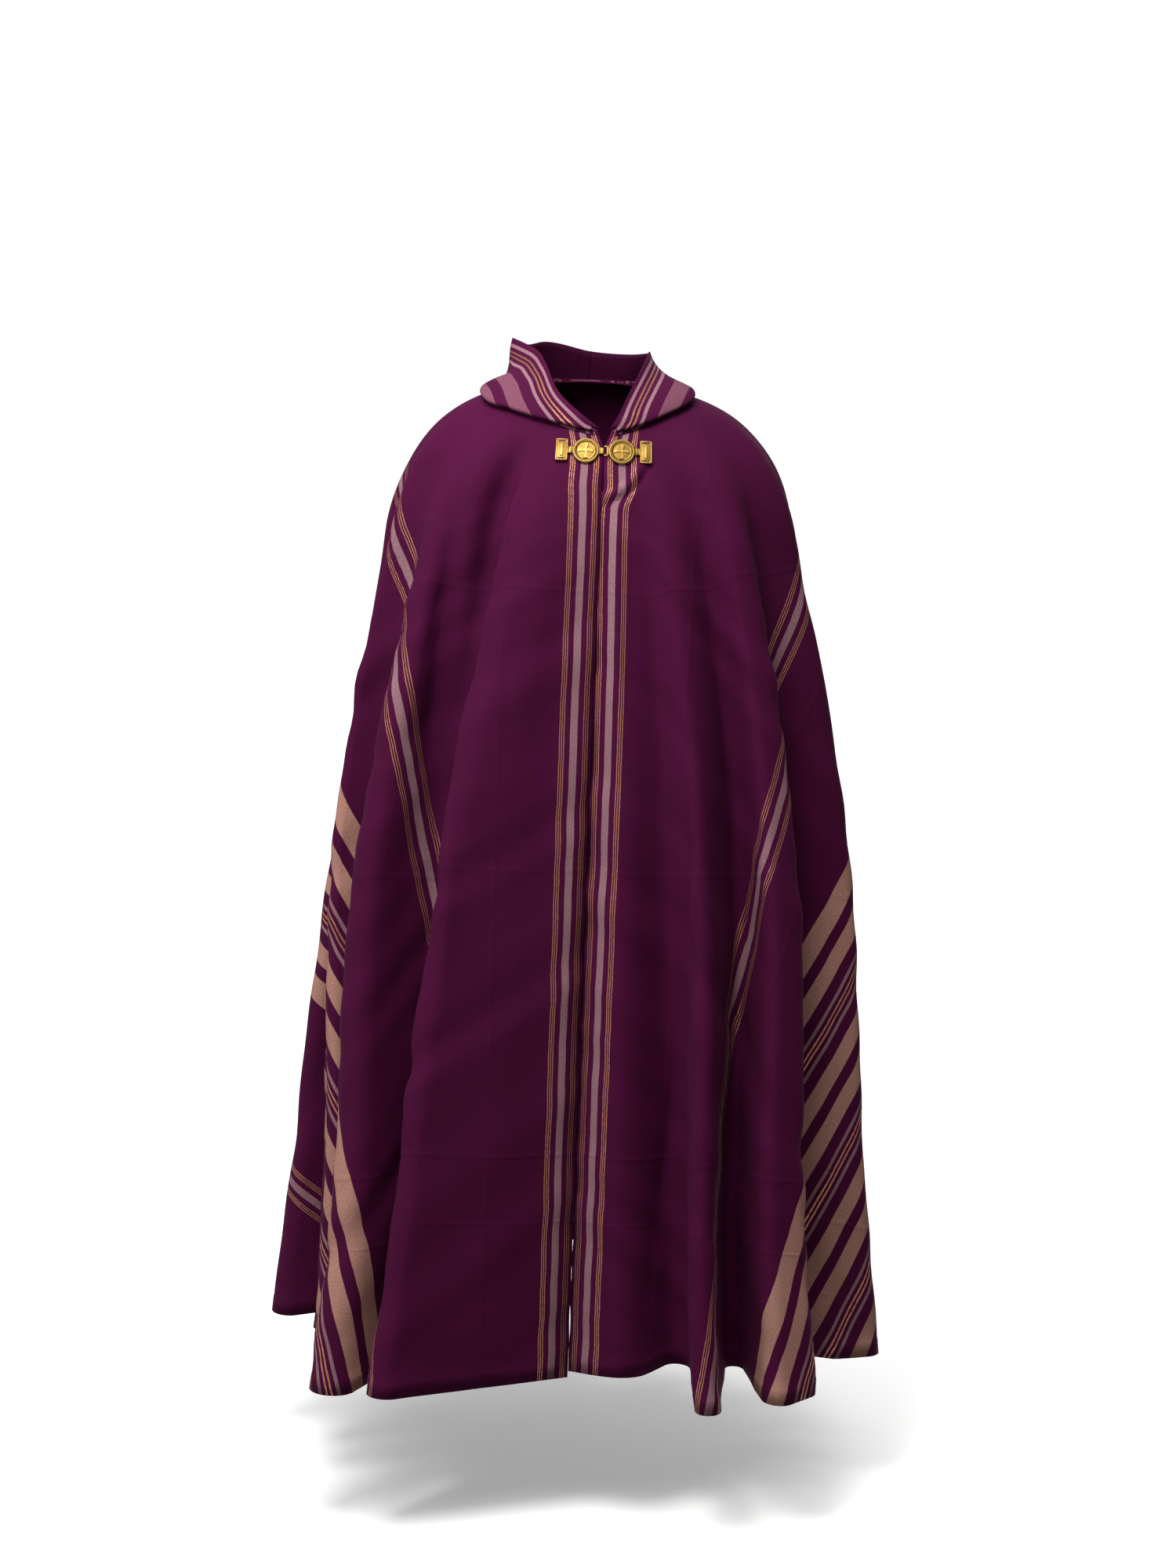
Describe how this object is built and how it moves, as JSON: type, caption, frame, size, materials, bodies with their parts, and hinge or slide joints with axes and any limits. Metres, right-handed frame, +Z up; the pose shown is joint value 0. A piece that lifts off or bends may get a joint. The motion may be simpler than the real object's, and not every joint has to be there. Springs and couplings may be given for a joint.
{
  "type": "hooded cope",
  "caption": "Half-circle cape of striped plum wool worn open at the front, with a thrown-back hood, neckband and a gilt two-medallion clasp.",
  "frame": {"origin": "centre of the neck opening, level with the tops of the wearer's shoulders", "axes": "+Z up, the wearer faces -Y, +X towards the wearer's left"},
  "size_m": [0.897, 0.7717, 1.4553],
  "materials": {
    "cope_cloth": "plum wool with woven stripes in mauve, tan and gold",
    "hood_cloth": "the same cloth cut from its striped middle band",
    "band_cloth": "the same cloth with its stripes across the strip",
    "gilt": "polished gilt"
  },
  "bodies": {
    "root": {"cape": "cope_cloth", "hood_right": "hood_cloth", "hood_left": "hood_cloth", "neckband": "band_cloth", "plate_right": "gilt", "plate_left": "gilt", "link_right": "gilt", "link_left": "gilt", "medallion_right": "gilt", "medallion_left": "gilt", "eye": "gilt", "hook": "gilt"}
  },
  "joints": []
}
